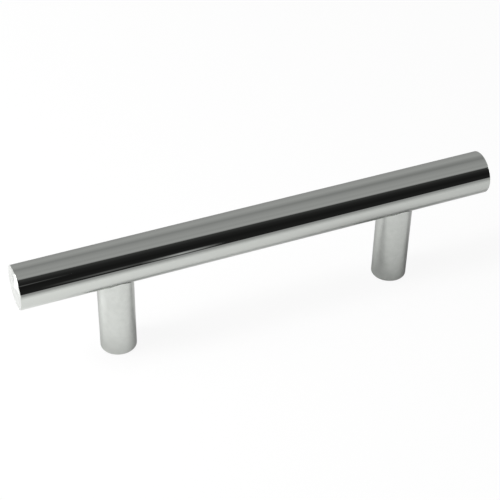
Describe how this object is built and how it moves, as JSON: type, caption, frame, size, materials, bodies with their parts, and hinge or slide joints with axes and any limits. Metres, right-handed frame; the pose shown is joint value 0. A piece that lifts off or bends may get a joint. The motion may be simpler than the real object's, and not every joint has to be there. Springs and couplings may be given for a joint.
{
  "type": "cabinet bar pull",
  "caption": "Straight round chrome bar held off a door or drawer by two round posts coped to the bar, as a handle to pull it open.",
  "frame": {"origin": "on the plane of the two feet, which is the face of the door or drawer, midway between the posts", "axes": "+X along the bar, +Z away from the door towards the bar, +Y across the bar"},
  "size_m": [0.1254, 0.011, 0.0318],
  "materials": {
    "polished_chrome": "mirror-polished chrome plate on steel",
    "satin_chrome": "satin chrome plate on steel, faintly mottled",
    "zinc_plate": "bright zinc plate on steel"
  },
  "bodies": {
    "root": {"bar": "polished_chrome", "left_post": "satin_chrome", "right_post": "satin_chrome", "left_stud": "zinc_plate", "right_stud": "zinc_plate"}
  },
  "joints": []
}
